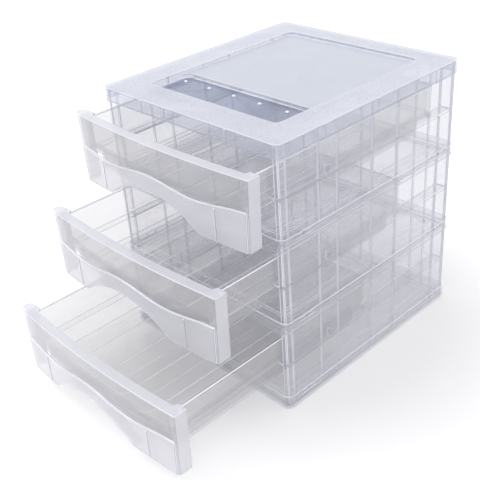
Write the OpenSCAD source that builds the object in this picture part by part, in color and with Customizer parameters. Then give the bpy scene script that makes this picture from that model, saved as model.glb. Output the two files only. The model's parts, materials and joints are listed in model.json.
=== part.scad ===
// Three-tier drawer unit in clear plastic, 260 mm wide, with the drawers pulled out in steps.
// Millimetres. +Z is up, -Y is the front and +X is the right side as seen from the front.
// The origin is the middle of the flat underside of the base plate.
// The cabinet is flat-packed: floor plates with an edge band, and panels that stand in the bands.
// Each drawer is a tray that hangs by its shoulders on two rails, with a bowed front clipped over it.

/* [Cabinet] */
// Width over the bands
cab_w = 260; // [240:1:300]
// Depth over the bands
cab_d = 288; // [260:1:340]
// Height from one floor plate's band to the next
tier_h = 97; // [95:1:120]
// Radius of the bands' corners in plan
corner_r = 8; // [4:0.5:9]
// Wall thickness of the bands
band_wall = 2; // [1.5:0.1:3]
// Height of a shelf's band
band_h = 14; // [12.5:0.5:18]
// Height of the base plate's band
base_band_h = 16; // [12.5:0.5:20]
// How far a shelf's band hangs below its plate
band_drop = 5; // [3:0.5:7]
// Thickness of the floor plates
plate_t = 2; // [1.5:0.1:3]
// Height of the guide ribs on the floor plates
guide_h = 3; // [1:0.5:4]
// Distance between the two guide ribs of a pair
guide_pair = 8; // [4:0.5:10]
// Length of a snap window in the bands' side walls
snap_l = 11; // [6:0.5:16]
// Height of a snap window
snap_h = 3.5; // [2:0.1:3.5]
// Width of the bar between two snap windows
snap_bar = 2; // [1.5:0.5:6]
// Distance of the snap windows from the bands' front and rear
snap_in = 20; // [16:1:40]
// How far the panels' catches reach into the snap windows
snap_out = 1.6; // [0.6:0.1:1.6]

/* [Cover] */
// Height of the cover's skirt, which ends flush with its top
cover_h = 15; // [11:0.5:25]
// Thickness of the cover's walls
cover_t = 2.4; // [1.8:0.1:3]
// Width of the raised border at the sides
border_side = 36; // [20:1:50]
// Width of the raised border at the front
border_front = 38; // [20:1:50]
// Width of the raised border at the rear
border_rear = 27; // [15:1:50]
// Depth of the rear pane below the border
pane_drop = 4; // [2:0.5:6]
// Depth of the pen tray below the border
pen_drop = 8.5; // [7:0.5:10]
// Length of the pen tray from front to rear
pen_d = 54; // [35:1:80]
// Corner radius of the sunk area
sunk_r = 7; // [3:0.5:15]

/* [Panels] */
// Thickness of the side and back panels
panel_t = 2; // [1.5:0.1:3]
// Thickness of the upright ribs
rib_w = 1.5; // [1:0.1:2.5]
// Height of the upright ribs above the panel
rib_h = 2.5; // [1.5:0.1:3]
// Depth of the front post
post_d = 13; // [8:0.5:18]
// How far the front post reaches inwards from the panel
post_leg = 4.8; // [3.5:0.1:5]
// Thickness of the front post's inward leg
post_web = 2; // [1.5:0.1:3]

/* [Rails] */
// Thickness of a rail
rail_t = 2.4; // [1.6:0.1:4]
// How far a rail reaches under the tray's shoulder
rail_lap = 7.5; // [4:0.5:9]
// Thickness of the stop tooth on each rail
stop_t = 2; // [1.5:0.1:4]

/* [Tray] */
// Height of the tray's underside above the tier's foot
tray_z = 33; // [26:0.5:40]
// Height of the shoulder's underside above the tier's foot
shoulder_z = 56; // [46:0.5:66]
// Height of the tray wall's top above the tier's foot
rim_z = 89.5; // [80:0.5:89.5]
// Wall thickness of the tray
tray_wall = 1.8; // [1.2:0.1:2.4]
// Thickness of the tray's floor
tray_floor = 2; // [1.5:0.1:3]
// Width of the shoulder at the sides
shoulder_side = 10; // [9:0.5:14]
// Width of the shoulder at the front and rear
shoulder_end = 8; // [4:0.5:14]
// Corner radius of the tray in plan
tray_r = 12; // [5:0.5:20]
// How far the rim turns outwards
rim_lip = 1.2; // [0.6:0.1:1.4]
// Thickness of the rim's lip
rim_t = 1.5; // [1:0.1:3]
// Number of raised pads along the floor
pads = 5; // [3:1:6]
// Width of a raised pad
pad_w = 20; // [8:1:24]
// Height of a raised pad
pad_h = 1.2; // [0.6:0.1:2]
// Distance from a pad's end to the wall
pad_end = 13; // [6:1:40]

/* [Drawer front] */
// How much the front narrows on each side towards its foot
front_taper = 2.5; // [0:0.5:4]
// Height of the front's lower edge above the tier's foot
front_foot = 17; // [14:0.5:20]
// Height of the flange's top above the tier's foot
front_top = 92; // [91:0.5:94]
// Depth of the side returns
front_d = 15; // [12:0.5:20]
// Rise of the bow across the front
bow = 6; // [3:0.5:12]
// Wall thickness of the front
front_wall = 2; // [1.5:0.1:2.5]
// Thickness of the flange
flange_t = 2.2; // [1.5:0.1:2.4]
// Depth of the flange at its middle
flange_d = 11; // [8:0.5:16]
// Radius of the front's upright corners
front_r = 7; // [3:0.5:8]
// Step by which the lower field stands forward
field_step = 1.7; // [1:0.1:1.8]
// Mean height of the wavy ledge above the tier's foot
wave_z = 56; // [52:0.5:60]
// Rise and fall of the wavy ledge
wave_a = 3; // [0:0.1:4]
// Length of one wave
wave_l = 130; // [100:1:160]
// Half width of the finger arch at the lower edge
arch_half = 69; // [40:1:72]
// Height of the finger arch
arch_h = 25; // [14:0.5:28]
// Sideways shift of the finger arch
arch_x = -8; // [-10:1:10]
// Radius by which the finger arch runs out into the lower edge
arch_foot_r = 14; // [8:1:20]
// Depth of the lip round the arch
arch_lip = 4; // [2:0.5:4]
// Thickness of the lip round the arch
arch_lip_t = 1.8; // [1:0.1:2.5]
// Overhang of the pull ear at the left end
ear = 9; // [6.5:0.5:12]
// Radius of the pull ear
ear_r = 6.3; // [4:0.1:6.5]
// Distance of the short upright ribs from the middle
front_rib_x = 86; // [84:1:95]
// Size of the small foot at the front's lower left corner
nib = 4; // [2:0.5:5]

/* [Travel] */
// Opening of the upper drawer as drawn
open_upper = 21; // [0:1:180]
// Opening of the middle drawer as drawn
open_middle = 71; // [0:1:180]
// Opening of the lower drawer as drawn
open_lower = 132; // [0:1:180]
// Opening at which the tray meets its stop
open_max = 190; // [185:1:200]

/* [Clearances] */
// Gap between a panel and the band round it
seat_gap = 0.2; // [0.1:0.05:0.3]
// How far each side of the front stands in from the band's side
front_side = 1.5; // [0.5:0.1:3]
// Space at each side between the tray's rim and the front posts
side_gap = 1.3; // [0.8:0.1:2]
// Running gap between a drawer and what guides it
run_gap = 0.3; // [0.2:0.05:0.4]
// Gap between the tray and the front clipped over it
clip_gap = 0.3; // [0.2:0.05:0.4]
// Space left behind a closed tray
rear_gap = 3.3; // [2:0.1:6]

/* [Hidden] */
$fn = 96;
lap = 0.5; // how far a cutter runs past the face that it cuts
reach = 40; // how far a blank runs on before it is cut to shape
relief = 0.8; // how far a slim rib stands out of a face
clear_tint = [0.82, 0.85, 0.94, 0.45];
frost_tint = [0.90, 0.92, 0.97, 0.85];

tiers = 3;
total_h = tiers * tier_h + cover_h;
opening = [open_lower, open_middle, open_upper];

// Inside of the bands, and the outer faces of the panels that stand in them
socket_w = cab_w - 2 * band_wall;
socket_d = cab_d - 2 * band_wall;
socket_r = corner_r - band_wall;
panel_x = socket_w / 2 - seat_gap;
panel_y = socket_d / 2 - seat_gap;
inner_x = panel_x - panel_t;
rear_rib_y = panel_y - panel_t - seat_gap - rib_w;
rib_y = [-85, -57, -2, 40, 116];
rib_x = [-97, -79, 0, 79, 97];

// Snap windows: their middles along Y, and the edge of the band that is left above them
snap_lip = 2;
snap_y = [for (side = [-1, 1]) for (k = [0, 1])
    side * (cab_d / 2 - snap_in - snap_l / 2 - k * (snap_l + snap_bar))];

// The tray, measured from the cabinet's front face with +Y going in
tray_half = inner_x - post_leg - rim_lip - side_gap;
tub_half = tray_half - shoulder_side;
tray_back = cab_d / 2 + panel_y - panel_t - rib_h - rear_gap;
tub_back = tray_back - shoulder_end;
rail_top = shoulder_z - run_gap;
rail_inner = tray_half - rail_lap;

// The bowed front: an arc through both upper corners
front_half = cab_w / 2 - front_side;
front_y = -run_gap - front_d;
bow_r = (front_half * front_half + bow * bow) / (2 * bow);
bow_y = front_y - bow + bow_r;
tray_bow_r = bow_r - front_wall - clip_gap;
arch_r = (arch_half * arch_half + arch_h * arch_h) / (2 * arch_h);
arch_z = front_foot + arch_h - arch_r;

// The lug near the tray's rear and the tooth that stops it
lug_d = 6;
lug_h = 7;
lug_out = 3.5;
lug_y = tray_back - 14;
tooth_h = 10;
tooth_y = lug_y - open_max - run_gap;

// Top face of the plate that a tier stands on, and the underside that caps it
function floor_z(i) = i == 0 ? plate_t : i * tier_h + band_drop + plate_t;
function cap_z(i) = i == tiers - 1 ? total_h - cover_t : (i + 1) * tier_h + band_drop;
// Height of the wavy ledge at a place across the front
function wave_at(x) = wave_z + wave_a * cos(360 * (x - arch_x) / wave_l);

// A rectangle with four round corners, made of true arcs
module round_rect(x0, x1, y0, y1, r) {
    translate([x0 + r, y0]) square([x1 - x0 - 2 * r, y1 - y0]);
    translate([x0, y0 + r]) square([x1 - x0, y1 - y0 - 2 * r]);
    for (x = [x0 + r, x1 - r])
        for (y = [y0 + r, y1 - r])
            translate([x, y]) circle(r);
}

module centred_rect(w, d, r) {
    round_rect(-w / 2, w / 2, -d / 2, d / 2, r);
}

// A slab of any outline between two heights
module slab(z0, z1) {
    translate([0, 0, z0]) linear_extrude(z1 - z0) children();
}

// An outline in X and Z, extruded along Y from y0 to y1
module along_y(y0, y1) {
    translate([0, y1, 0]) rotate([90, 0, 0]) linear_extrude(y1 - y0) children();
}

// Plan of something bowed at the front: an arc of the shared centre, cut to a round-cornered width
module bowed_plan(r, half, back, corner) {
    intersection() {
        translate([0, bow_y]) circle(r, $fn = 1440);
        round_rect(-half, half, bow_y - r - lap, back, corner);
    }
}

// Floor plate with its band: panels stand in the socket above, and below it hangs over the lower ones
module floor_plate(h, drop) {
    difference() {
        slab(0, h) centred_rect(cab_w, cab_d, corner_r);
        slab(drop + plate_t, h + lap) centred_rect(socket_w, socket_d, socket_r);
        if (drop > 0)
            slab(-lap, drop) centred_rect(socket_w, socket_d, socket_r);
        for (y = snap_y)
            translate([-cab_w / 2 - lap, y - snap_l / 2, h - snap_lip - snap_h])
                cube([cab_w + 2 * lap, snap_l, snap_h]);
    }
    plate_guides(drop + plate_t);
}

// Low guide ribs that stiffen the plate along both sides and across it, clear of the front posts
module plate_guides(z) {
    end = socket_d / 2 - post_d - 2 * rib_w;
    for (side = [-tub_half, tub_half])
        for (x = [side - guide_pair / 2, side + guide_pair / 2])
            slab(z - lap, z + guide_h) translate([x - rib_w / 2, -end]) square([rib_w, 2 * end]);
    for (y = [-end, 0, end])
        slab(z - lap, z + guide_h) translate([-tub_half, y - rib_w / 2]) square([2 * tub_half, rib_w]);
}

// Floor plate of tier i, which also holds the tops of the panels below it
module shelf(i) {
    color(clear_tint) translate([0, 0, i * tier_h]) floor_plate(band_h, band_drop);
}

module base_plate() {
    color(clear_tint) floor_plate(base_band_h, 0);
}

// Side panel of tier i, drawn for the right side
module side_panel(i) {
    color(clear_tint) {
        slab(floor_z(i), cap_z(i)) intersection() {
            centred_rect(2 * panel_x, 2 * panel_y, socket_r - seat_gap);
            union() {
                translate([inner_x, -panel_y]) square([panel_t, 2 * panel_y]);
                translate([inner_x - post_leg, -panel_y]) square([post_leg + lap, post_web]);
                translate([inner_x - post_web, -panel_y]) square([post_web + lap, 2 * post_web]);
                translate([inner_x - rib_h, -panel_y + post_d - rib_w]) square([rib_h + lap, rib_w]);
                translate([inner_x - rib_h, rear_rib_y]) square([rib_h + lap, rib_w]);
                for (y = rib_y)
                    translate([inner_x - rib_h, y - rib_w / 2]) square([rib_h + lap, rib_w]);
            }
        }
        translate([0, 0, i * tier_h]) rail();
        translate([0, 0, i * tier_h + (i == 0 ? base_band_h : band_h)]) catches();
    }
}

// Catches on the panel's outer face, which snap into the windows of the band below
module catches() {
    for (y = snap_y)
        translate([panel_x - lap, y - snap_l / 2 + clip_gap, -snap_lip - snap_h + clip_gap])
            cube([lap + snap_out, snap_l - 2 * clip_gap, snap_h - 2 * clip_gap]);
}

// Rail under the tray's shoulder, from the front post's leg to the rear rib, and the lug's stop tooth
module rail() {
    y0 = -panel_y + post_web - lap;
    slab(rail_top - rail_t, rail_top)
        translate([rail_inner, y0]) square([inner_x - rail_inner + lap, rear_rib_y + lap - y0]);
    translate([inner_x - post_leg, -cab_d / 2 + tooth_y - stop_t, rail_top - lap])
        cube([post_leg + lap, stop_t, tooth_h]);
}

// Back panel of tier i, which stands between the side panels
module back_panel(i) {
    half = inner_x - seat_gap;
    color(clear_tint) slab(floor_z(i), cap_z(i)) intersection() {
        centred_rect(2 * panel_x, 2 * panel_y, socket_r - seat_gap);
        union() {
            translate([-half, panel_y - panel_t]) square([2 * half, panel_t]);
            for (x = rib_x)
                translate([x - rib_w / 2, panel_y - panel_t - rib_h]) square([rib_w, rib_h + lap]);
        }
    }
}

// Cover: raised border with a skirt, a sunk rear pane and a deeper pen tray in front of it
module top_cover() {
    x1 = cab_w / 2 - border_side;
    y0 = -cab_d / 2 + border_front;
    y1 = cab_d / 2 - border_rear;
    pen_back = y0 + pen_d;
    top = total_h;
    color(frost_tint) {
        difference() {
            union() {
                difference() {
                    slab(top - cover_h, top) centred_rect(cab_w, cab_d, corner_r);
                    slab(top - cover_h - lap, top - cover_t)
                        centred_rect(socket_w, socket_d, socket_r);
                }
                slab(top - pane_drop - cover_t, top - cover_t + lap) sunk_area(x1, y0, y1, cover_t);
                slab(top - pen_drop - cover_t, top - cover_t + lap) sunk_area(x1, y0, pen_back, cover_t);
            }
            slab(top - pane_drop, top + lap) sunk_area(x1, y0, y1, 0);
            slab(top - pen_drop, top + lap) sunk_area(x1, y0, pen_back, 0);
        }
        pen_pips(x1, pen_back, top - pen_drop);
        skirt_ribs(top);
        side_ribs(top);
    }
}

// Plan of a sunk area of the cover, drawn outwards by t
module sunk_area(half, y0, y1, t) {
    round_rect(-half - t, half + t, y0 - t, y1 + t, sunk_r + t);
}

// Low round pips along the rear of the pen tray's floor
module pen_pips(x1, pen_back, z) {
    pips = 5;
    pip_r = 1.8;
    pip_h = 1.2;
    pip_left = 10;
    pip_right = 26;
    pip_back = 12;
    pitch = (2 * x1 - pip_left - pip_right) / (pips - 1);
    for (k = [0 : pips - 1])
        translate([-x1 + pip_left + pitch * k, pen_back - pip_back, z + pip_h - pip_r])
            sphere(pip_r, $fn = 24);
}

// Two slim upright ribs on the skirt's front face
module skirt_ribs(top) {
    skirt_rib_x = 63;
    for (x = [-skirt_rib_x, skirt_rib_x])
        slab(top - cover_h, top - 1)
            translate([x - rib_w / 2, -cab_d / 2 - relief]) square([rib_w, relief + lap]);
}

// Slim upright ribs on the skirt's side faces, at the middles of its snaps
module side_ribs(top) {
    for (side = [-1, 1])
        for (y = [-109, -78, 2, 99])
            slab(top - cover_h, top - 1)
                translate([side * (cab_w - lap + relief) / 2 - (relief + lap) / 2, y - rib_w / 2])
                    square([relief + lap, rib_w]);
}

// Tray of tier i
module tray(i) {
    color(clear_tint) translate([0, -cab_d / 2 - opening[i], i * tier_h]) {
        difference() {
            union() {
                slab(shoulder_z, rim_z) bowed_plan(tray_bow_r, tray_half, tray_back, tray_r);
                slab(tray_z, shoulder_z + lap)
                    bowed_plan(tray_bow_r - shoulder_end, tub_half, tub_back, tray_r);
                slab(rim_z - rim_t, rim_z) rim_plan();
                tray_lugs();
            }
            slab(shoulder_z + tray_floor, rim_z + lap)
                bowed_plan(tray_bow_r - tray_wall, tray_half - tray_wall, tray_back - tray_wall,
                    tray_r - tray_wall);
            slab(tray_z + tray_floor, shoulder_z + tray_floor + lap)
                bowed_plan(tray_bow_r - shoulder_end - tray_wall, tub_half - tray_wall,
                    tub_back - tray_wall, tray_r - tray_wall);
        }
        floor_pads();
    }
}

// The rim turns outwards along the sides and the rear, behind the front's returns
module rim_plan() {
    intersection() {
        bowed_plan(tray_bow_r, tray_half + rim_lip, tray_back + rim_lip, tray_r + rim_lip);
        translate([-cab_w / 2, 1]) square([cab_w, cab_d]);
    }
}

// Lug near the rear on each side, which meets the rail's tooth when the drawer is fully open
module tray_lugs() {
    for (side = [-1, 1])
        slab(shoulder_z, shoulder_z + lug_h)
            translate([side * (tray_half + lug_out / 2 - lap / 2) - (lug_out + lap) / 2, lug_y])
                square([lug_out + lap, lug_d]);
}

// Long raised pads with round ends, running from front to rear
module floor_pads() {
    inner = tub_half - tray_wall;
    pitch = 2 * inner / pads;
    y0 = bow_y - tray_bow_r + shoulder_end + tray_wall + pad_end + pad_w / 2;
    y1 = tub_back - tray_wall - pad_end - pad_w / 2;
    for (k = [0 : pads - 1])
        translate([-inner + pitch * (k + 0.5), 0, tray_z + tray_floor])
            slab(-lap, pad_h) {
                translate([-pad_w / 2, y0]) square([pad_w, y1 - y0]);
                translate([0, y0]) circle(pad_w / 2);
                translate([0, y1]) circle(pad_w / 2);
            }
}

// Outline of the front seen from the front, narrowing to its foot, drawn inwards by t
module front_outline(t) {
    polygon([
        [-front_half + t, front_top],
        [front_half - t, front_top],
        [front_half - front_taper - t, front_foot - lap],
        [-front_half + front_taper + t, front_foot - lap]
    ]);
}

// Everything below the wavy ledge, drawn down by t
module below_wave(t) {
    steps = 32;
    half = front_half - t;
    polygon(concat(
        [[half, front_foot - 2 * lap], [-half, front_foot - 2 * lap]],
        [for (k = [0 : steps]) let (x = -half + 2 * half * k / steps) [x, wave_at(x) - t]]
    ));
}

// Opening of the finger arch: one large arc with a small arc at each foot, where it meets the edge
module arch_outline() {
    drop = front_foot + arch_foot_r - arch_z;
    foot_x = sqrt(pow(arch_r + arch_foot_r, 2) - drop * drop);
    lean = atan2(foot_x, drop);
    steps = 6;
    foot = [for (k = [0 : steps - 1]) let (a = lean * k / steps)
        [foot_x - arch_foot_r * sin(a), front_foot + arch_foot_r * (1 - cos(a))]];
    crown = [for (k = [0 : 3 * steps]) let (a = lean * (1 - 2 * k / (3 * steps)))
        [arch_r * sin(a), arch_z + arch_r * cos(a)]];
    outline = concat(
        [[foot_x, front_foot - lap]],
        foot,
        crown,
        [for (k = [steps - 1 : -1 : 0]) [-foot[k][0], foot[k][1]]],
        [[-foot_x, front_foot - lap]]
    );
    translate([arch_x, 0]) polygon(outline);
}

// Bowed front of tier i: panel, flange, returns, wavy ledge and finger arch
module drawer_front(i) {
    color(clear_tint) translate([0, -cab_d / 2 - opening[i], i * tier_h]) {
        difference() {
            union() {
                front_shell();
                arch_rim();
            }
            along_y(front_y - reach, 0) arch_outline();
        }
        front_ribs();
        front_pad();
        pull_ear();
        corner_nib();
        clip_hooks();
    }
}

// A hollow shell: the lower field stands forward of the panel by a step, at the same wall thickness
module front_shell() {
    difference() {
        union() {
            panel_block(0, front_foot, front_top);
            field_block(0);
        }
        panel_block(front_wall, front_foot - lap, front_top - flange_t);
        field_block(front_wall);
        slab(front_top - flange_t - lap, front_top + lap)
            bowed_plan(bow_r - flange_d, tray_half - rim_lip, reach, tray_r + rim_lip);
    }
}

// The upper panel with its returns as a block, drawn inwards by t
module panel_block(t, z0, z1) {
    intersection() {
        slab(z0, z1) bowed_plan(bow_r - t, front_half - t, reach, front_r - t);
        along_y(front_y - reach, t > 0 ? reach : -run_gap) front_outline(t);
    }
}

// The lower field as a block, drawn inwards by t
module field_block(t) {
    inset = 1.2 * front_wall + t;
    intersection() {
        slab(front_foot - t, wave_z + wave_a + 1)
            bowed_plan(bow_r + field_step - t, front_half - inset, reach, front_r);
        along_y(front_y - reach, front_y + front_d / 2) intersection() {
            below_wave(t);
            front_outline(inset);
        }
    }
}

// Lip that follows the finger arch and runs back from the middle of the wall
module arch_rim() {
    intersection() {
        slab(front_foot, front_top)
            bowed_plan(bow_r + field_step - front_wall / 2, front_half - 4 * front_wall, reach, front_r);
        along_y(front_y - reach, front_y + arch_lip)
            translate([arch_x, arch_z]) circle(arch_r + arch_lip_t, $fn = 360);
    }
}

// Two short upright ribs beside the arch
module front_ribs() {
    face_y = bow_y - (bow_r + field_step) * cos(asin(front_rib_x / bow_r));
    for (x = [-front_rib_x, front_rib_x])
        slab(front_foot + 3, wave_z - wave_a)
            translate([x - rib_w / 2, face_y - relief]) square([rib_w, relief + lap]);
}

// Shallow pad with round corners behind the right end of the lower field
module front_pad() {
    pad_step = 0.7;
    face_r = bow_r + field_step;
    intersection() {
        slab(front_foot, wave_z) difference() {
            bowed_plan(face_r - 0.4 * front_wall, front_half - 4 * front_wall, reach, front_r);
            bowed_plan(face_r - front_wall - pad_step, front_half, 2 * reach, front_r);
        }
        along_y(front_y - reach, front_y + front_d / 2)
            round_rect(front_rib_x + 2 * rib_w, front_half - 5 * front_wall,
                front_foot + 4 * front_wall, wave_z - wave_a - 2 * front_wall, 2 * front_wall);
    }
}

// Small rounded foot that stands out of the left return at its lower edge
module corner_nib() {
    foot_x = -front_half + front_taper;
    slab(front_foot, front_foot + 2 * nib)
        translate([foot_x + front_wall / 2, -run_gap - front_d / 3]) circle(nib);
}

// Rounded ear by which the left end of the flange can be pulled
module pull_ear() {
    y = -run_gap - 0.5 - ear_r;
    slab(front_top - flange_t, front_top) {
        translate([-front_half - ear + ear_r, y]) circle(ear_r);
        translate([-front_half - ear + ear_r, y - ear_r]) square([ear - ear_r + front_wall, 2 * ear_r]);
    }
}

// Hooks that run from the returns under the tray's shoulder and hold the front on the tray
module clip_hooks() {
    clip_d = 5;
    clip_t = 2;
    clip_in = tub_half + 1.5;
    z1 = shoulder_z - clip_gap;
    for (side = [-1, 1])
        intersection() {
            slab(z1 - clip_t, z1)
                translate([side > 0 ? clip_in : -cab_w / 2, -run_gap - clip_d])
                    square([cab_w / 2 - clip_in, clip_d]);
            along_y(-front_d, 0) front_outline(front_wall / 2);
        }
}

top_cover();
shelf(2);  // shelf_upper
shelf(1);  // shelf_lower
base_plate();
mirror([1, 0, 0]) side_panel(2);  // left_panel_upper
mirror([1, 0, 0]) side_panel(1);  // left_panel_middle
mirror([1, 0, 0]) side_panel(0);  // left_panel_lower
side_panel(2);  // right_panel_upper
side_panel(1);  // right_panel_middle
side_panel(0);  // right_panel_lower
back_panel(2);  // back_panel_upper
back_panel(1);  // back_panel_middle
back_panel(0);  // back_panel_lower
tray(2);  // tray_upper
tray(1);  // tray_middle
tray(0);  // tray_lower
drawer_front(2);  // front_upper
drawer_front(1);  // front_middle
drawer_front(0);  // front_lower
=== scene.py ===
# %% [markdown]
# # A clear plastic drawer unit
#
# Three drawers hang in a cabinet that is snapped together from clear mouldings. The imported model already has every
# moulding in its place, so this lesson is about what turns exact solids into plastic: the small rounding that every
# moulded edge has, the polish or frost of each face, and a plain white studio. Lengths are in metres, as in Blender.

# %% The frame
import json
import math

import bmesh
import bpy
import numpy as np
from mathutils import Matrix, Vector


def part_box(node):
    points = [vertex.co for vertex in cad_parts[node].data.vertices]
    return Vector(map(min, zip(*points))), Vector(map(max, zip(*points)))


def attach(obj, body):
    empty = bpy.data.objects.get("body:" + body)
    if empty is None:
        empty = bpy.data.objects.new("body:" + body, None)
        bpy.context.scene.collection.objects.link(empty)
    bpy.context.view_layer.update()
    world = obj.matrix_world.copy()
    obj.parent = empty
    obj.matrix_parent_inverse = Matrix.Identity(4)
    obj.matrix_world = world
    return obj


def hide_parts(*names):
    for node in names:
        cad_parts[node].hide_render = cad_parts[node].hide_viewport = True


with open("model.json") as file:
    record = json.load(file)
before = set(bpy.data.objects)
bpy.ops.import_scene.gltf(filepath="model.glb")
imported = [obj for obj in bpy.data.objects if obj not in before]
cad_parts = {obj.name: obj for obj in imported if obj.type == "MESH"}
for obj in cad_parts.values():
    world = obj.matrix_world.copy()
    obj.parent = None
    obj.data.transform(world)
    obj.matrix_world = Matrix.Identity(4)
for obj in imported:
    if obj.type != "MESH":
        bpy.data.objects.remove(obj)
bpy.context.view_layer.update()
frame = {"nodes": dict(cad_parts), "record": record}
MM = 0.001

# %% [markdown]
# ## The camera
#
# The photographer stood in front of the right-hand corner and looked down by about thirty degrees, with the camera
# turned a little about its own axis. A camera is placed by a target on the object, two angles, a distance and that
# roll. The focal length comes from the same fit, in pixels of a 480 pixel frame.

# %% The camera
AZIMUTH, ELEVATION, ROLL = map(math.radians, (47.934, 30.374, -4.517))
TARGET = Vector((-86.9, 0.0, 63.7)) * MM
DISTANCE = 1064.5 * MM
FOCAL_PIXELS = 824.3
FRAME_PIXELS = 480
SENSOR_MM = 36.0


def camera_axes(azimuth, elevation, roll):
    """Right, up and back of a camera that looks at its target. Back points from the target to the camera. Right is
    level, and the roll then turns right and up about back."""
    back = Vector((math.sin(azimuth) * math.cos(elevation), -math.cos(azimuth) * math.cos(elevation),
                   math.sin(elevation)))
    right = Vector((0, 0, 1)).cross(back).normalized()
    up = back.cross(right)
    return (right * math.cos(roll) + up * math.sin(roll), up * math.cos(roll) - right * math.sin(roll), back)


right, up, back = camera_axes(AZIMUTH, ELEVATION, ROLL)
camera = bpy.data.objects.new("camera", bpy.data.cameras.new("camera"))
bpy.context.scene.collection.objects.link(camera)
camera.matrix_world = Matrix.Translation(TARGET + back * DISTANCE) @ Matrix((right, up, back)).transposed().to_4x4()
camera.data.sensor_width = SENSOR_MM
camera.data.lens = FOCAL_PIXELS / FRAME_PIXELS * SENSOR_MM
camera.data.clip_start, camera.data.clip_end = 50 * MM, 50
bpy.context.scene.camera = camera
print("camera at", np.round(camera.matrix_world.translation, 3).tolist(), "lens", round(camera.data.lens, 1))

# %% [markdown]
# ## Colours and nodes
#
# A colour is written the way a colour picker shows it, as an sRGB hex value, and one function turns it into the
# linear numbers that a renderer adds up. One more function adds a shader node together with its settings and links,
# so that each material below reads like a list.

# %% Helpers for materials
def linear(hex_colour, alpha=1.0):
    """sRGB hex to linear RGBA: a value below 0.04045 is divided by 12.92, and any other is ((v + 0.055) / 1.055)
    to the power 2.4."""
    v = np.array([int(hex_colour[i:i + 2], 16) for i in (0, 2, 4)]) / 255
    v = np.where(v <= 0.04045, v / 12.92, ((v + 0.055) / 1.055) ** 2.4)
    return (*v.tolist(), alpha)


def add_node(tree, kind, **inputs):
    """Adds a node. A name that ends in _ is a property of the node, and any other name is an input socket, with
    spaces written as __. A socket's value is linked, and any other value is set."""
    node = tree.nodes.new(kind)
    for name, value in inputs.items():
        if name.endswith("_"):
            setattr(node, name[:-1], value)
    for name, value in inputs.items():
        if name.endswith("_"):
            continue
        key = int(name[1:]) if name[0] == "i" and name[1:].isdigit() else name.replace("__", " ")
        socket = node.inputs[key]
        if isinstance(value, bpy.types.NodeSocket):
            tree.links.new(value, socket)
        else:
            socket.default_value = value
    return node


def new_material(name):
    """An empty node material and its tree."""
    material = bpy.data.materials.new(name)
    material.use_nodes = True
    material.node_tree.nodes.clear()
    return material, material.node_tree


def either(tree, *sockets):
    """The larger of some 0 or 1 outputs: 1 where any of them is 1."""
    found = sockets[0]
    for socket in sockets[1:]:
        found = add_node(tree, "ShaderNodeMath", operation_="MAXIMUM", i0=found, i1=socket).outputs[0]
    return found


# %% [markdown]
# ## Clear polystyrene
#
# The unit is injection moulded from general purpose polystyrene, which is clear, glossy and a little brittle. Its
# walls are only 2 mm thick, so what is behind them is hardly moved, and each face can be drawn as three things at
# once. Most of the light goes straight through. A small milky share is scattered both ways by haze, dust and the
# marks of the mould. And a share is mirrored, which grows from 5% head on to most of it at a grazing look. A fully
# bending glass would be the other way to do it, but light is caught between its walls, and the unit turns dark where
# the real one stays milky white.
#
# Real walls aren't perfectly flat either. They sink a little as they cool, which makes soft, slow waves in every
# reflection. The waves are 35 mm long and some hundredths of a millimetre high. The frosted faces were spark-eroded
# into the steel of the mould. Their real grain is a tenth of a millimetre wide, which is too fine to show here, so
# it is drawn 1.3 mm wide.

# %% Polished and satin mouldings
WAVE_MM = 35.0
GRAIN_MM = 1.3
# How much of a frosted face's pattern is grain, and between which noise values the milky share goes from low to high.
GRAIN_SHARE = 0.6
NOISE_LOW, NOISE_HIGH = 0.3, 0.7
# A smooth face mirrors this much head on and at a grazing look, and loses the second times its roughness there.
PLASTIC_IOR = 1.59
MIRROR_HEAD_ON = ((PLASTIC_IOR - 1) / (PLASTIC_IOR + 1)) ** 2
MIRROR_GRAZING, ROUGH_LOSS = 0.95, 1.4
# What a wall lets through of the light that falls on other things.
BENT_ASIDE = 0.95


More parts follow.
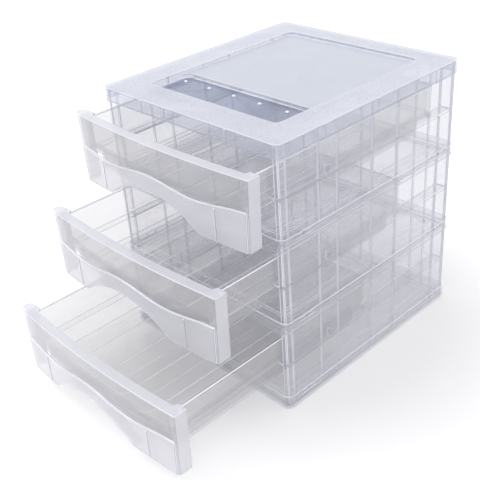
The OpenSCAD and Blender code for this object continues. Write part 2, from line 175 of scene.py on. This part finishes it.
def polystyrene(name, through, milk, share, roughness, behind=0.35, wave_height=0.03, grain_height=0.0,
                mirror=MIRROR_HEAD_ON):
    """Moulded polystyrene. Each face lets light of the colour through pass, scatters the given share of it as the
    colour milk, and mirrors F + (G - F) * (1 - cosine) ** 5 of it, where F is what it mirrors head on and G what it
    mirrors at a grazing look, which is less on a rough face. The share has two values between which it wanders
    slowly over the moulding. behind is how much of the light from the far side is scattered as well. wave_height is
    the height of the sink marks and grain_height that of the spark-eroded texture, both in mm. mirror is F; set high
    on the edge materials, it paints a highlight there. Light from the lamps and from matt things is bent aside by a
    real wall, so less of it goes straight through, and the shadows stay soft but plain."""
    material, tree = new_material(name)
    place = add_node(tree, "ShaderNodeTexCoord").outputs["Object"]
    slow = add_node(tree, "ShaderNodeTexNoise", Vector=place, Scale=1 / (WAVE_MM * MM), Detail=1.5, Roughness=0.4)
    flow = add_node(tree, "ShaderNodeTexNoise", Vector=place, Scale=1 / (2 * WAVE_MM * MM), Detail=3.0)
    height = add_node(tree, "ShaderNodeBump", Height=slow.outputs["Fac"], Strength=1.0,
                      Distance=wave_height * MM)
    pattern = flow.outputs["Fac"]
    if grain_height:
        grain = add_node(tree, "ShaderNodeTexNoise", Vector=place, Scale=1 / (GRAIN_MM * MM), Detail=2.0)
        height = add_node(tree, "ShaderNodeBump", Height=grain.outputs["Fac"], Strength=1.0,
                          Distance=grain_height * MM, Normal=height.outputs["Normal"])
        pattern = add_node(tree, "ShaderNodeMix", Factor=GRAIN_SHARE, i2=pattern, i3=grain.outputs["Fac"]).outputs[0]
    surface = height.outputs["Normal"]
    milky = add_node(tree, "ShaderNodeMapRange", Value=pattern, i1=NOISE_LOW, i2=NOISE_HIGH, i3=share[0],
                     i4=share[1])
    lit = add_node(tree, "ShaderNodeBsdfPrincipled", Base__Color=linear(milk), Roughness=0.5, IOR=PLASTIC_IOR,
                   Normal=surface)
    lit_from_behind = add_node(tree, "ShaderNodeBsdfTranslucent", Color=[behind * v for v in linear(milk)[:3]] + [1],
                               Normal=surface)
    haze = add_node(tree, "ShaderNodeAddShader", i0=lit.outputs[0], i1=lit_from_behind.outputs[0])
    paths = add_node(tree, "ShaderNodeLightPath")
    lighting = either(tree, paths.outputs["Is Shadow Ray"], paths.outputs["Is Diffuse Ray"])
    passed = add_node(tree, "ShaderNodeMix", data_type_="RGBA", Factor=lighting, i6=linear(through),
                      i7=[v * BENT_ASIDE for v in linear(through)[:3]] + [1])
    open_way = add_node(tree, "ShaderNodeBsdfTransparent", Color=passed.outputs[2])
    wall = add_node(tree, "ShaderNodeMixShader", i0=milky.outputs["Result"], i1=open_way.outputs[0],
                    i2=haze.outputs[0])
    slant = add_node(tree, "ShaderNodeLayerWeight", Blend=0.5, Normal=surface)
    grazing = add_node(tree, "ShaderNodeMath", operation_="POWER", i0=slant.outputs["Facing"], i1=5.0)
    mirrored = add_node(tree, "ShaderNodeMapRange", Value=grazing.outputs[0], i3=mirror,
                       i4=MIRROR_GRAZING - ROUGH_LOSS * roughness)
    gloss = add_node(tree, "ShaderNodeBsdfAnisotropic", Color=linear("FDFDFF"), Roughness=roughness, Normal=surface)
    both = add_node(tree, "ShaderNodeMixShader", i0=mirrored.outputs["Result"], i1=wall.outputs[0],
                    i2=gloss.outputs[0])
    add_node(tree, "ShaderNodeOutputMaterial", Surface=both.outputs[0])
    return material


# Polished steel leaves a glossy wall. Only a few hundredths of it look milky, and a little more on the side walls.
clear_shell = polystyrene("clear_polystyrene_cabinet", "FAFAFB", "F0F0F3", (0.04, 0.07), 0.05)
clear_side = polystyrene("clear_polystyrene_side_wall", "FAFAFB", "F0F0F3", (0.05, 0.08), 0.05)
clear_tray = polystyrene("clear_polystyrene_tray", "F9F9F9", "F0EFF1", (0.06, 0.10), 0.05)
# Painted shade: the tray's floor and its front and back walls let less through than its sides, and look darker.
tray_painted_shade = polystyrene("polystyrene_tray_with_painted_shade", "F3F3F3", "F0EFF1", (0.03, 0.05), 0.05)
clear_front = polystyrene("clear_polystyrene_front", "F7F7F7", "EEEDF1", (0.05, 0.08), 0.06)
# The lower part of a front is thick and flowed slowly, so nearly half of its light is scattered: it looks milky.
milky_front = polystyrene("milky_polystyrene_front", "F7F7F7", "EBEAEF", (0.40, 0.48), 0.08, 0.22)
# The cover has a cooler tint. Its pen tray lets much less through, which paints the shade of the tier below on it and
# makes it the darkest.
clear_cover = polystyrene("clear_polystyrene_skirt", "F4F5F8", "E8EAF1", (0.13, 0.17), 0.06)
pens_painted_shade = polystyrene("polystyrene_pen_tray_with_painted_shade", "D0D5E2", "D9DDE8", (0.05, 0.08), 0.06)
# A spark-eroded or satin mould face leaves a frost that hides what is below it and softens each highlight.
frosted_cover = polystyrene("spark_eroded_polystyrene_cover", "F4F6FA", "E3E6EF", (0.58, 1.0), 0.45, 0.1, 0.02, 0.12)
frosted_pane = polystyrene("satin_polystyrene_pane", "F2F4FA", "E0E4ED", (0.70, 0.82), 0.35, 0.1, 0.02, 0.06)
frosted_flange = polystyrene("satin_polystyrene_flange", "F6F6FA", "EAEAF1", (0.66, 0.76), 0.3, 0.2, 0.02, 0.03)
# Painted highlight: narrow strips and upward radii are made to send out more light than falls on them, as bright
# lines.
edge_painted_highlight = polystyrene("edge_with_painted_highlight", "F8F8FA", "F4F4F7", (0.80, 0.90), 0.2, 0.55, 0.0, mirror=0.55)
# The fronts' upward radii get a softer painted highlight.
front_edge_painted_soft_highlight = polystyrene("front_edge_with_painted_soft_highlight", "F8F8FA", "F0F0F4", (0.70, 0.80), 0.3, 0.4, 0.0, mirror=0.2)
# Painted shade: the other radii are darker, and draw the thin grey outline that is seen against white.
edge_shade = polystyrene("edge_radius_with_painted_shade", "C6C8D0", "DADBE2", (0.25, 0.35), 0.05, 0.45, 0.0)
print("materials:", [m.name for m in bpy.data.materials])

# %% [markdown]
# ## From exact solids to mouldings
#
# A imported node is a set of loose triangles with knife-sharp edges. A real moulding has a small radius on every edge,
# and in clear plastic that radius is what is seen. So each node gets a merged copy, whose triangles share their
# corners again, and its edges that turn by more than 35 degrees are rounded. A Bevel modifier could do that as well,
# but its smooth shading also bends the normals of the large flat walls, which then look dented. Bevelling the mesh
# itself and smoothing only shallow turns keeps the walls flat. The radius, and each strip about as narrow as the wall
# is thick, gets a material of its own, which paints the bright or grey line: a painted highlight on narrow strips and
# upward radii, painted shade on the other radii. The other faces are given their finish by where they lie, because
# the same moulding can be polished in one place and frosted in another.

# %% Rounded copies
BODY_OF = {node: body for body, names in frame["record"]["behaviour"]["bodies"].items() for node in names}
SLOT_OF = {part["node"]: part["material_slot"] for part in frame["record"]["subparts"]}
NARROW_MM = 2.5
WELD_MM = 0.005
SMOOTH_BELOW = math.radians(12)
ROUNDED_ABOVE = math.radians(35)
# Parts of a unit normal along an axis: a rounding above the first faces up and gets the painted highlight, and a wall
# above the second faces left or right. A face above the third is level, or stands square to the front.
CATCHES_LIGHT, SIDEWAYS, SQUARE = 0.3, 0.7, 0.9


def strip_widths(mesh):
    """The width in mm of the surface that each triangle belongs to: twice the surface's area over the length of its
    outline. A surface ends where two triangles meet at more than 12 degrees. Each triangle starts with a number of
    its own, and neighbours on one surface take the lower number until nothing changes."""
    faces, loops = len(mesh.polygons), len(mesh.loops)
    normals, areas = np.empty(3 * faces), np.empty(faces)
    loop_edge = np.empty(loops, np.int64)
    corners = np.empty(2 * len(mesh.edges), np.int64)
    points = np.empty(3 * len(mesh.vertices))
    mesh.polygons.foreach_get("normal", normals)
    mesh.polygons.foreach_get("area", areas)
    mesh.loops.foreach_get("edge_index", loop_edge)
    mesh.edges.foreach_get("vertices", corners)
    mesh.vertices.foreach_get("co", points)
    normals, corners, points = normals.reshape(-1, 3), corners.reshape(-1, 2), points.reshape(-1, 3)
    order = np.argsort(loop_edge, kind="stable")
    one, two = (order // 3).reshape(-1, 2).T
    length = np.linalg.norm(points[corners[:, 0]] - points[corners[:, 1]], axis=1)[loop_edge[order[::2]]]
    joined = (normals[one] * normals[two]).sum(1) > math.cos(SMOOTH_BELOW)
    label = np.arange(faces)
    while True:
        lowest = label.copy()
        np.minimum.at(lowest, one[joined], label[two[joined]])
        np.minimum.at(lowest, two[joined], label[one[joined]])
        lowest = lowest[lowest]
        if (lowest == label).all():
            break
        label = lowest
    area = np.bincount(label, areas, faces)
    outline = np.bincount(label[one[~joined]], length[~joined], faces)
    outline += np.bincount(label[two[~joined]], length[~joined], faces)
    return (2 * area / np.maximum(outline, 1e-9) / MM)[label]


def moulded(node, materials, finish, rounding=0.4, plain_beyond=math.inf):
    """A rounded copy of a CAD node. finish(centres, normals, widths) gives each face the number of its material,
    from the faces' middles in mm, their normals and the widths of their surfaces in mm. The rounding gets the last
    material, which paints shade, or where it faces up the one before it, which paints a highlight. It is left out
    beyond the given distance from the middle plane, in mm. Only faces that turn by less than 12 degrees are shaded
    as one, so flat walls stay flat."""
    mesh = bpy.data.meshes.new(node + "_moulding")
    work = bmesh.new()
    work.from_mesh(frame["nodes"][node].data)
    bmesh.ops.remove_doubles(work, verts=work.verts, dist=WELD_MM * MM)
    work.to_mesh(mesh)
    faces = len(mesh.polygons)
    centres, normals = np.empty(3 * faces), np.empty(3 * faces)
    mesh.polygons.foreach_get("center", centres)
    mesh.polygons.foreach_get("normal", normals)
    for material in materials:
        mesh.materials.append(material)
    index = finish(centres.reshape(-1, 3) / MM, normals.reshape(-1, 3), strip_widths(mesh))
    mesh.polygons.foreach_set("material_index", index.astype(np.int32))
    work.clear()
    work.from_mesh(mesh)
    sharp = [edge for edge in work.edges if edge.calc_face_angle(0) > ROUNDED_ABOVE
             and max(abs(vert.co.x) for vert in edge.verts) < plain_beyond * MM]
    bmesh.ops.bevel(work, geom=sharp, offset=rounding * MM, offset_type="OFFSET", segments=2, profile=0.5,
                    affect="EDGES", clamp_overlap=False, material=len(materials) - 1)
    work.to_mesh(mesh)
    work.free()
    faces = len(mesh.polygons)
    normals, index = np.empty(3 * faces), np.empty(faces, np.int32)
    mesh.polygons.foreach_get("normal", normals)
    mesh.polygons.foreach_get("material_index", index)
    # Upward-facing radii get the painted highlight, the others keep the painted shade.
    index[(index == len(materials) - 1) & (normals[2::3] > CATCHES_LIGHT)] = len(materials) - 2
    mesh.polygons.foreach_set("material_index", index)
    mesh.polygons.foreach_set("use_smooth", np.ones(faces, bool))
    mesh.set_sharp_from_angle(angle=SMOOTH_BELOW)
    piece = bpy.data.objects.new(node + "_moulding", mesh)
    bpy.context.scene.collection.objects.link(piece)
    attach(piece, BODY_OF[node])
    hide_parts(node)
    return piece


# The catches of the side panels reach out beyond this distance from the middle plane, in mm, and stay plain.
CATCH_X = 128


def wall_finish(centres, normals, widths):
    """0 polished walls and catches, 1 the walls that face left and right, 2 narrow strips, which get the painted
    highlight.
    """
    strip = (widths < NARROW_MM) & (np.abs(centres[:, 0]) < CATCH_X)
    return np.select([strip, np.abs(normals[:, 0]) > SIDEWAYS], [2, 1], 0)


# %% The cabinet
# Heights are measured down from the cover's top, in mm, and places along x and y from the middle of the unit.
COVER_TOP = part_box("top_cover")[1].z / MM
PEN_TRAY_BACK, PANE_HALF = -52, 95
BORDER_DOWN = 0.5
PANE_DOWN, PIPS_DOWN, SKIRT_FOOT_DOWN = (1, 7.5), (7.2, 8.4), 14.9
PIP_ROW_Y, PIP_R = -64, 3
SKIRT_FACE_Y = -143
SKIRT_PLAIN_X = 130.1


def cover_finish(centres, normals, widths):
    """0 spark-eroded on the raised border's top, 1 satin on the pane, 2 polished on the skirt, 3 on the pen tray's
    floor, which is darker with painted shade, and 4 on narrow strips of the front skirt and on the pips, which get the
    painted highlight. The pen tray is the sunk part in front of the pane's step."""
    x, y, down = centres[:, 0], centres[:, 1], COVER_TOP - centres[:, 2]
    flat = np.abs(normals[:, 2]) > SQUARE
    border = (down < BORDER_DOWN) & flat
    sunk = flat & (down > PANE_DOWN[0]) & (np.abs(x) < PANE_HALF)
    pane = sunk & (y > PEN_TRAY_BACK) & (down < PANE_DOWN[1])
    pens = sunk & (y < PEN_TRAY_BACK)
    pips = (down > PIPS_DOWN[0]) & (down < PIPS_DOWN[1]) & (np.abs(y - PIP_ROW_Y) < PIP_R)
    skirt = (y < SKIRT_FACE_Y) & (normals[:, 1] < -SQUARE)
    strip = (widths < NARROW_MM) & skirt | pips | (down > SKIRT_FOOT_DOWN)
    return np.select([border, pane, strip, pens], [0, 1, 4, 3], 2)


COVER_MATERIALS = [frosted_cover, frosted_pane, clear_cover, pens_painted_shade, edge_painted_highlight, edge_shade]
made = [moulded("top_cover", COVER_MATERIALS, cover_finish, plain_beyond=SKIRT_PLAIN_X)]
for node, slot in SLOT_OF.items():
    if slot == "clear_shell":
        made.append(moulded(node, [clear_shell, clear_side, edge_painted_highlight, edge_shade], wall_finish))
print("cabinet mouldings:", len(made))

# %% The drawers
# Heights above the tier's foot, in mm, and the ledge's wave: its middle height, swing, length and a crest's place.
TIERS = ("lower", "middle", "upper")
FRONT_FOOT, ARCH_TOP = 17, 45
WAVE_Z, WAVE_A, WAVE_L, WAVE_X = 56, 3, 130, -8
LEDGE_REACH, FLANGE_SKIN = 2, 0.3


def front_finish(centres, normals, widths):
    """0 clear above the wavy ledge, 1 milky below it and on the returns, 2 satin on the flange and along the ledge,
    and 3 a painted highlight on other narrow strips and on the underside of the arch. The ledge's height above the
    tier's foot is 56 + 3 * cos(360 degrees * (x + 8) / 130)."""
    x, z = centres[:, 0], centres[:, 2] - centres[:, 2].min() + FRONT_FOOT
    ledge = WAVE_Z + WAVE_A * np.cos(2 * np.pi * (x - WAVE_X) / WAVE_L)
    narrow = widths < NARROW_MM
    flange = z > z.max() - FLANGE_SKIN
    on_ledge = narrow & (np.abs(z - ledge) < LEDGE_REACH) & (np.abs(normals[:, 2]) > 0.8)
    arch = (normals[:, 2] < -0.15) & (z < ARCH_TOP) & (np.abs(normals[:, 1]) < 0.4)
    milky = (z < ledge) & (np.abs(normals[:, 1]) > 0.5) | (np.abs(normals[:, 0]) > SIDEWAYS)
    return np.select([flange | on_ledge, narrow | arch, milky], [2, 3, 1], 0)


FRONT_MATERIALS = [clear_front, milky_front, frosted_flange, edge_painted_highlight, front_edge_painted_soft_highlight, edge_shade]
for tier in TIERS:
    made.append(moulded("tray_" + tier, [tray_painted_shade, clear_tray, edge_painted_highlight, edge_shade], wall_finish))
    made.append(moulded("front_" + tier, FRONT_MATERIALS, front_finish))
print("all mouldings:", len(made), "faces:", sum(len(p.data.polygons) for p in made))

# %% [markdown]
# ## The marks of moulding
#
# A moulding tells how it was made. Each band has a fine bead where its two mould halves meet, each front has the
# mark of the gate through which the plastic was let in, the pane has the rings of four ejector pins, each front post
# flares out where it stands on its plate, and each flange ends in a small round knob. They are too slight to be cut
# into the solids, so they are laid on as skins of their own. Every one is a stack of rings: a bead's rings follow a
# path, and a disc's or a knob's rings are circles of changing radius.

# %% A skin over a stack of rings
MARKS_SMOOTH_BELOW = math.radians(40)


def skin(name, rings, material, body):
    """A closed skin in mm. rings has the shape (rows, columns, 3): point (r, c) is joined to (r, c + 1),
    (r + 1, c + 1) and (r + 1, c), the columns go round, and the first and the last ring are closed with one face
    each."""
    rows, columns = rings.shape[:2]
    first = np.arange((rows - 1) * columns).reshape(rows - 1, columns)
    beside = np.roll(first, -1, axis=1)
    quads = np.stack([first, beside, beside + columns, first + columns], axis=-1).reshape(-1, 4)
    ends = [list(range(columns))[::-1], list(range((rows - 1) * columns, rows * columns))]
    mesh = bpy.data.meshes.new(name)
    mesh.from_pydata(rings.reshape(-1, 3) * MM, [], quads.tolist() + ends)
    work = bmesh.new()
    work.from_mesh(mesh)
    bmesh.ops.recalc_face_normals(work, faces=work.faces)
    work.to_mesh(mesh)
    work.free()
    mesh.materials.append(material)
    mesh.polygons.foreach_set("use_smooth", np.ones(len(mesh.polygons), bool))
    mesh.set_sharp_from_angle(angle=MARKS_SMOOTH_BELOW)
    piece = bpy.data.objects.new(name, mesh)
    bpy.context.scene.collection.objects.link(piece)
    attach(piece, body)
    return piece


def turned(centre, radii, heights, axis=2, columns=20):
    """The rings of a turned shape: ring r is a circle of radius radii[r] at heights[r] along axis 0, 1 or 2."""
    angle = np.linspace(0, 2 * np.pi, columns, endpoint=False)
    radii, heights = np.array(radii, float)[:, None], np.array(heights, float)[:, None]
    rings = np.empty((len(radii), columns, 3))
    rings[..., (axis + 1) % 3] = radii * np.cos(angle)
    rings[..., (axis + 2) % 3] = radii * np.sin(angle)
    rings[..., axis] = heights + 0 * angle
    return rings + np.array(centre, float)


# %% Beads on the bands, seen from the left rear round the front to the right rear
# Half the width and half the depth of the bands and their corner radius, and the bead's radius, how far its middle
# lies outside the band's face and how far it lies below the band's top, all in mm.
BAND_HALF, BAND_DEPTH, BAND_R = 130, 144, 8
BEAD_R, BEAD_OUT, BEAD_BELOW = 0.55, -0.2, 7.2
BAND_HEIGHTS = {"base_plate": 16, "shelf_lower": 14, "shelf_upper": 14}


def bead_rings(z):
    """Rings of radius 0.55 mm round a path on the band's face: straight along the left, a quarter circle at each
    front corner, straight between them and along the right. The path's normal turns with the quarter circles."""
    turn = np.linspace(0, np.pi / 2, 12)
    bearing = np.concatenate([[np.pi], np.pi + turn, 1.5 * np.pi + turn, [2 * np.pi]])
    side = BAND_HALF - BAND_R
    middle_x = np.concatenate([[-side], 0 * turn - side, 0 * turn + side, [side]])
    middle_y = np.concatenate([[BAND_DEPTH - 2 * BAND_R], 0 * turn - BAND_DEPTH + BAND_R,
                               0 * turn - BAND_DEPTH + BAND_R, [BAND_DEPTH - 2 * BAND_R]])
    out = np.stack([np.cos(bearing), np.sin(bearing), 0 * bearing], axis=1)
    path = np.stack([middle_x, middle_y, 0 * middle_x + z], axis=1) + out * (BAND_R + BEAD_OUT)
    round_it = np.linspace(0, 2 * np.pi, 10, endpoint=False)
    return (path[:, None] + BEAD_R * (out[:, None] * np.cos(round_it)[None, :, None]
                                      + np.array([0, 0, 1.0]) * np.sin(round_it)[None, :, None]))


marks = []
for node, band in BAND_HEIGHTS.items():
    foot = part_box(node)[0].z / MM
    marks.append(skin(node + "_bead", bead_rings(foot + band - BEAD_BELOW), clear_shell, "cabinet"))
print("beads:", len(marks))

# %% Post feet, ejector rings, gate marks and knobs
INNER_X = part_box("back_panel_upper")[1].x / MM + 0.2
FOOT_H, FOOT_FRONT_Y = 4.5, -140.8
POST_WIDE, POST_DEEP, FLARE = 5, 4, 5
GATE_DOWN = 41
KNOB_X, KNOB_IN = 125.5, 4.2
EJECTORS = ((-44.7, 0.5), (14.9, 14.2), (23.4, 4.8), (23.8, -32.8))
PANE_Z = COVER_TOP - 4


def flared_foot(side, z):
    """The foot of a front post: four-cornered rings that shrink from 10 x 9 mm to the post's 5 x 4 mm over 4.5 mm by
    a quarter circle, so that the foot's side is hollow."""
    up = np.linspace(0, 1, 7)
    grow = 1 - np.sqrt(1 - (1 - up) ** 2)
    wide, deep = POST_WIDE + FLARE * grow, POST_DEEP + FLARE * grow
    corner = np.array([[0, 0], [1, 0], [1, 1], [0, 1]], float)
    rings = np.empty((len(up), 4, 3))
    rings[..., 0] = side * (INNER_X - 0.4 - corner[:, 0] * wide[:, None])
    rings[..., 1] = FOOT_FRONT_Y + corner[:, 1] * deep[:, None]
    rings[..., 2] = (z + FOOT_H * up)[:, None]
    return rings


# A gate mark is a disc 3.4 mm wide and 0.6 mm deep, a knob is 4.6 mm wide and stands 1.6 mm high, and an ejector ring
# is 4.8 mm wide and stands 0.12 mm high.
for tier in TIERS:
    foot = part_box("left_panel_" + tier)[0].z / MM
    for side, name in ((-1, "left"), (1, "right")):
        marks.append(skin("post_foot_" + name + "_" + tier, flared_foot(side, foot), clear_shell, "cabinet"))
    low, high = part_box("front_" + tier)
    front_y, top = low.y / MM, high.z / MM
    body = "drawer_" + tier
    gate = turned((0, front_y + 0.4, top - GATE_DOWN), [0.1, 1.2, 1.7, 1.2, 0.1], [0, 0, 0.3, 0.6, 0.6], axis=1)
    marks.append(skin("gate_mark_" + tier, gate, clear_cover, body))
    knob = turned((KNOB_X, high.y / MM - KNOB_IN, top), [0.1, 2.0, 2.3, 2.1, 1.4, 0.1], [-1, -1, 0.3, 1.0, 1.5, 1.6])
    marks.append(skin("flange_knob_" + tier, knob, frosted_flange, body))
for number, (x, y) in enumerate(EJECTORS):
    ring = turned((x, y, PANE_Z), [0.1, 2.1, 2.4, 2.4, 0.1], [0.12, 0.12, 0, -0.4, -0.4])
    marks.append(skin("ejector_ring_%d" % number, ring, frosted_pane, "cabinet"))
print("marks of moulding:", len(marks))

# %% [markdown]
# ## The studio
#
# The photograph was taken on a white sweep under large soft lights. Here that is a pale floor, an even sky of the
# world, and two large lamps. Clear plastic shows what is behind it, so the floor and the world look white to the
# camera and to every ray that has passed through or bounced off the plastic. The floor stays an ordinary diffuse
# surface for everything else, and keeps the soft grey shadow under the unit.

# %% The floor
FLOOR_HALF = 7.0
FLOOR_DOWN = 0.3 * MM
FIBRES_PER_METRE = 400.0
LIFT_FROM, LIFT_TO = (0.19, 0.30), (0.33, 0.44)


def white_floor():
    """A pale matt floor. A share of its own light, for what the camera sees, lifts it to white. The share grows from
    0.19 m to 0.33 m from the middle, so that the sweep ends in plain white."""
    material, tree = new_material("white_paper_sweep")
    paths = add_node(tree, "ShaderNodeLightPath")
    seen = either(tree, *(paths.outputs["Is %s Ray" % kind] for kind in ("Camera", "Transmission", "Glossy")))
    fibre = add_node(tree, "ShaderNodeTexNoise", Vector=add_node(tree, "ShaderNodeTexCoord").outputs["Object"],
                     Scale=FIBRES_PER_METRE, Detail=3.0)
    colour = add_node(tree, "ShaderNodeMix", data_type_="RGBA", Factor=fibre.outputs["Fac"],
                      i6=linear("E6E6E7"), i7=linear("EAEAEB"))
    paper = add_node(tree, "ShaderNodeBsdfDiffuse", Color=colour.outputs[2])
    away = add_node(tree, "ShaderNodeVectorMath", operation_="LENGTH",
                    i0=add_node(tree, "ShaderNodeTexCoord").outputs["Object"])
    lift = add_node(tree, "ShaderNodeMapRange", Value=away.outputs["Value"], i1=LIFT_FROM[0], i2=LIFT_TO[0],
                    i3=LIFT_FROM[1], i4=LIFT_TO[1])
    share = add_node(tree, "ShaderNodeMath", operation_="MULTIPLY", i0=seen, i1=lift.outputs["Result"])
    glow = add_node(tree, "ShaderNodeEmission", Color=linear("FFFFFF"), Strength=share.outputs[0])
    both = add_node(tree, "ShaderNodeAddShader", i0=paper.outputs[0], i1=glow.outputs[0])
    add_node(tree, "ShaderNodeOutputMaterial", Surface=both.outputs[0])
    return material


floor_mesh = bpy.data.meshes.new("floor")
floor_corners = [(x * FLOOR_HALF, y * FLOOR_HALF, 0) for x, y in ((-1, -1), (1, -1), (1, 1), (-1, 1))]
floor_mesh.from_pydata(floor_corners, [], [(0, 1, 2, 3)])
floor_mesh.materials.append(white_floor())
floor = bpy.data.objects.new("floor", floor_mesh)
floor.location.z = -FLOOR_DOWN
bpy.context.scene.collection.objects.link(floor)
print("floor:", 2 * FLOOR_HALF, "m square")

# %% The sky and the lamps
SKY_LIGHTS = 0.72
LAMPS_AIM = Vector((0, -0.05, 0.15))


def studio_world():
    """White for every ray that shows it, and a softer level for the light that falls on matt surfaces."""
    world = bpy.data.worlds.new("studio")
    world.use_nodes = True
    tree = world.node_tree
    tree.nodes.clear()
    paths = add_node(tree, "ShaderNodeLightPath")
    seen = either(tree, *(paths.outputs["Is %s Ray" % kind] for kind in ("Camera", "Transmission", "Glossy")))
    strength = add_node(tree, "ShaderNodeMapRange", Value=seen, i3=SKY_LIGHTS, i4=1.0)
    light = add_node(tree, "ShaderNodeBackground", Color=linear("FEFEFF"), Strength=strength.outputs["Result"])
    add_node(tree, "ShaderNodeOutputWorld", Surface=light.outputs[0])
    bpy.context.scene.world = world


studio_world()


def softbox(name, place, size, power):
    """A square area lamp that faces the middle of the unit."""
    data = bpy.data.lights.new(name, "AREA")
    data.shape, data.size, data.energy = "SQUARE", size, power
    data.color = linear("FBFBFF")[:3]
    lamp = bpy.data.objects.new(name, data)
    lamp.location = place
    lamp.rotation_mode = "QUATERNION"
    lamp.rotation_quaternion = (LAMPS_AIM - Vector(place)).to_track_quat("-Z", "Y")
    bpy.context.scene.collection.objects.link(lamp)
    return lamp


# Name, place in metres, side in metres and power in watts: one large lamp above on the left, one lower on the right.
# The right one isn't mirrored by the plastic, because seen from behind its image would bleach the whole cover.
softbox("key", (-2.5, -1.2, 3.9), 2.6, 46.0)
fill = softbox("fill", (3.2, -2.8, 2.2), 2.4, 36.0)
fill.visible_glossy = False

scene = bpy.context.scene
scene.view_settings.view_transform = "Standard"
scene.cycles.max_bounces = 10
scene.cycles.glossy_bounces = 6
scene.cycles.transparent_max_bounces = 96
